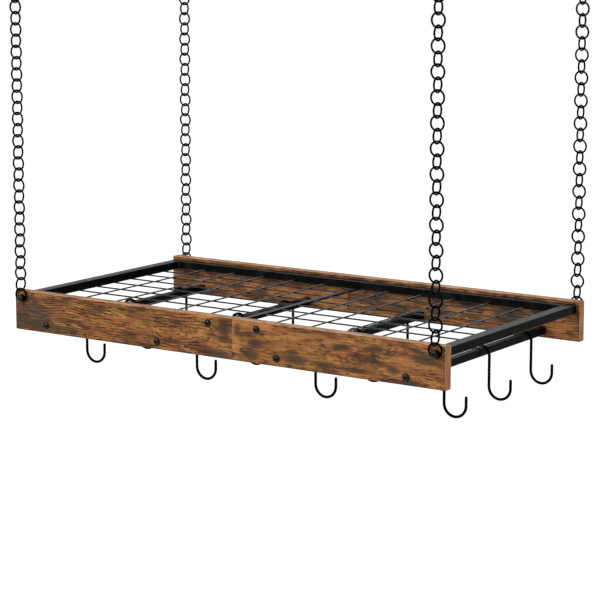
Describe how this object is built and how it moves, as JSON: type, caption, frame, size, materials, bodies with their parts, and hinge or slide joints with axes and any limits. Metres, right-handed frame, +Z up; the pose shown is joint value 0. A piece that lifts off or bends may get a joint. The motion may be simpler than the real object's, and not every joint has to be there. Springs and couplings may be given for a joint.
{
  "type": "hanging pot rack",
  "caption": "Ceiling-hung pot rack: boards around a steel tube frame with a wire shelf, bars below with sliding S-hooks, and ring chains up to screw hooks.",
  "frame": {"origin": "centre of the four ceiling screws, on the ceiling face they go into", "axes": "X along the rack to its right as seen from the front, -Y to its front, +Z up; the rack hangs below the origin"},
  "size_m": [0.8, 0.4608, 0.7086],
  "materials": {
    "board_wood": "rustic brown wood with a fine lengthwise grain, satin",
    "black_frame": "black powder coat, satin",
    "black_wire": "black powder coat, satin",
    "black_chain": "black, satin",
    "black_hook": "black, satin",
    "black_steel": "black, satin",
    "black_fastener": "black oxide, satin",
    "plain_steel": "zinc plated"
  },
  "bodies": {
    "ceiling": {"ceiling_hook_front_left": "black_steel", "ceiling_hook_front_right": "black_steel", "ceiling_hook_back_left": "black_steel", "ceiling_hook_back_right": "black_steel"},
    "rack": {"upright_rings": "black_chain", "bolt_rings": "black_chain", "ring_washers": "black_fastener", "chain_bolts": "black_fastener", "front_board_left": "board_wood", "front_board_right": "board_wood", "back_board_left": "board_wood", "back_board_right": "board_wood", "end_tube_left": "black_frame", "end_tube_right": "black_frame", "long_tube_front": "black_frame", "long_tube_back": "black_frame", "centre_strip": "black_frame", "shelf_wires_left": "black_wire", "shelf_wires_right": "black_wire", "joint_bolts": "black_fastener", "joint_nuts": "plain_steel", "end_tube_plugs": "plain_steel", "hook_bar_1": "black_frame", "hook_bar_2": "black_frame", "hook_bar_3": "black_frame", "hook_bar_4": "black_frame", "bar_plugs": "plain_steel", "bar_bolts": "black_fastener"},
    "top_ring_front_left": {"top_ring_front_left": "black_chain"},
    "chain_front_left": {"chain_front_left": "black_chain"},
    "lower_ring_front_left": {"lower_ring_front_left": "black_chain"},
    "top_ring_front_right": {"top_ring_front_right": "black_chain"},
    "chain_front_right": {"chain_front_right": "black_chain"},
    "lower_ring_front_right": {"lower_ring_front_right": "black_chain"},
    "top_ring_back_left": {"top_ring_back_left": "black_chain"},
    "chain_back_left": {"chain_back_left": "black_chain"},
    "lower_ring_back_left": {"lower_ring_back_left": "black_chain"},
    "top_ring_back_right": {"top_ring_back_right": "black_chain"},
    "chain_back_right": {"chain_back_right": "black_chain"},
    "lower_ring_back_right": {"lower_ring_back_right": "black_chain"},
    "hook_1_front": {"hook_1_front": "black_hook"},
    "hook_1_middle": {"hook_1_middle": "black_hook"},
    "hook_1_back": {"hook_1_back": "black_hook"},
    "hook_2_front": {"hook_2_front": "black_hook"},
    "hook_2_middle": {"hook_2_middle": "black_hook"},
    "hook_2_back": {"hook_2_back": "black_hook"},
    "hook_3_front": {"hook_3_front": "black_hook"},
    "hook_3_middle": {"hook_3_middle": "black_hook"},
    "hook_3_back": {"hook_3_back": "black_hook"},
    "hook_4_front": {"hook_4_front": "black_hook"},
    "hook_4_middle": {"hook_4_middle": "black_hook"},
    "hook_4_back": {"hook_4_back": "black_hook"}
  },
  "joints": [
    {"name": "sway_front_back", "type": "hinge", "parent": "ceiling", "child": "top_ring_front_left", "pos_m": [-0.3855, -0.2184, -0.03425], "axis": [1, 0, 0], "range_deg": [-12, 12]},
    {"name": "sway_lengthwise", "type": "hinge", "parent": "top_ring_front_left", "child": "chain_front_left", "pos_m": [-0.3855, -0.2184, -0.05095], "axis": [0, 1, 0], "range_deg": [-12, 12]},
    {"name": "lower_ring_swing_front_left", "type": "hinge", "parent": "chain_front_left", "child": "lower_ring_front_left", "pos_m": [-0.3855, -0.2184, -0.51115], "axis": [0, 1, 0], "range_deg": [-12, 12]},
    {"name": "rack_level_swing", "type": "hinge", "parent": "lower_ring_front_left", "child": "rack", "pos_m": [-0.3855, -0.2184, -0.52885], "axis": [1, 0, 0], "range_deg": [-12, 12]},
    {"name": "top_ring_swing_front_right", "type": "hinge", "parent": "ceiling", "child": "top_ring_front_right", "pos_m": [0.3855, -0.2184, -0.03425], "axis": [1, 0, 0], "range_deg": [-12, 12]},
    {"name": "chain_swing_front_right", "type": "hinge", "parent": "top_ring_front_right", "child": "chain_front_right", "pos_m": [0.3855, -0.2184, -0.05095], "axis": [0, 1, 0], "range_deg": [-12, 12]},
    {"name": "lower_ring_swing_front_right", "type": "hinge", "parent": "chain_front_right", "child": "lower_ring_front_right", "pos_m": [0.3855, -0.2184, -0.51115], "axis": [0, 1, 0], "range_deg": [-12, 12]},
    {"name": "top_ring_swing_back_left", "type": "hinge", "parent": "ceiling", "child": "top_ring_back_left", "pos_m": [-0.3855, 0.2184, -0.03425], "axis": [1, 0, 0], "range_deg": [-12, 12]},
    {"name": "chain_swing_back_left", "type": "hinge", "parent": "top_ring_back_left", "child": "chain_back_left", "pos_m": [-0.3855, 0.2184, -0.05095], "axis": [0, 1, 0], "range_deg": [-12, 12]},
    {"name": "lower_ring_swing_back_left", "type": "hinge", "parent": "chain_back_left", "child": "lower_ring_back_left", "pos_m": [-0.3855, 0.2184, -0.51115], "axis": [0, 1, 0], "range_deg": [-12, 12]},
    {"name": "top_ring_swing_back_right", "type": "hinge", "parent": "ceiling", "child": "top_ring_back_right", "pos_m": [0.3855, 0.2184, -0.03425], "axis": [1, 0, 0], "range_deg": [-12, 12]},
    {"name": "chain_swing_back_right", "type": "hinge", "parent": "top_ring_back_right", "child": "chain_back_right", "pos_m": [0.3855, 0.2184, -0.05095], "axis": [0, 1, 0], "range_deg": [-12, 12]},
    {"name": "lower_ring_swing_back_right", "type": "hinge", "parent": "chain_back_right", "child": "lower_ring_back_right", "pos_m": [0.3855, 0.2184, -0.51115], "axis": [0, 1, 0], "range_deg": [-12, 12]},
    {"name": "hook_1_front_slide", "type": "slide", "parent": "rack", "child": "hook_1_front", "axis": [0, 1, 0], "range_m": [-0.06, 0.06]},
    {"name": "hook_1_middle_slide", "type": "slide", "parent": "rack", "child": "hook_1_middle", "axis": [0, 1, 0], "range_m": [-0.06, 0.06]},
    {"name": "hook_1_back_slide", "type": "slide", "parent": "rack", "child": "hook_1_back", "axis": [0, 1, 0], "range_m": [-0.06, 0.06]},
    {"name": "hook_2_front_slide", "type": "slide", "parent": "rack", "child": "hook_2_front", "axis": [0, 1, 0], "range_m": [-0.06, 0.06]},
    {"name": "hook_2_middle_slide", "type": "slide", "parent": "rack", "child": "hook_2_middle", "axis": [0, 1, 0], "range_m": [-0.06, 0.06]},
    {"name": "hook_2_back_slide", "type": "slide", "parent": "rack", "child": "hook_2_back", "axis": [0, 1, 0], "range_m": [-0.06, 0.06]},
    {"name": "hook_3_front_slide", "type": "slide", "parent": "rack", "child": "hook_3_front", "axis": [0, 1, 0], "range_m": [-0.06, 0.06]},
    {"name": "hook_3_middle_slide", "type": "slide", "parent": "rack", "child": "hook_3_middle", "axis": [0, 1, 0], "range_m": [-0.06, 0.06]},
    {"name": "hook_3_back_slide", "type": "slide", "parent": "rack", "child": "hook_3_back", "axis": [0, 1, 0], "range_m": [-0.06, 0.06]},
    {"name": "hook_4_front_slide", "type": "slide", "parent": "rack", "child": "hook_4_front", "axis": [0, 1, 0], "range_m": [-0.06, 0.06]},
    {"name": "hook_4_middle_slide", "type": "slide", "parent": "rack", "child": "hook_4_middle", "axis": [0, 1, 0], "range_m": [-0.06, 0.06]},
    {"name": "hook_4_back_slide", "type": "slide", "parent": "rack", "child": "hook_4_back", "axis": [0, 1, 0], "range_m": [-0.06, 0.06]}
  ],
  "couplings": [
    {"joint": "rack_level_swing", "follows": "sway_front_back", "ratio": -1},
    {"joint": "lower_ring_swing_front_left", "follows": "sway_lengthwise", "ratio": -1},
    {"joint": "top_ring_swing_front_right", "follows": "sway_front_back", "ratio": 1},
    {"joint": "chain_swing_front_right", "follows": "sway_lengthwise", "ratio": 1},
    {"joint": "lower_ring_swing_front_right", "follows": "sway_lengthwise", "ratio": -1},
    {"joint": "top_ring_swing_back_left", "follows": "sway_front_back", "ratio": 1},
    {"joint": "chain_swing_back_left", "follows": "sway_lengthwise", "ratio": 1},
    {"joint": "lower_ring_swing_back_left", "follows": "sway_lengthwise", "ratio": -1},
    {"joint": "top_ring_swing_back_right", "follows": "sway_front_back", "ratio": 1},
    {"joint": "chain_swing_back_right", "follows": "sway_lengthwise", "ratio": 1},
    {"joint": "lower_ring_swing_back_right", "follows": "sway_lengthwise", "ratio": -1}
  ]
}
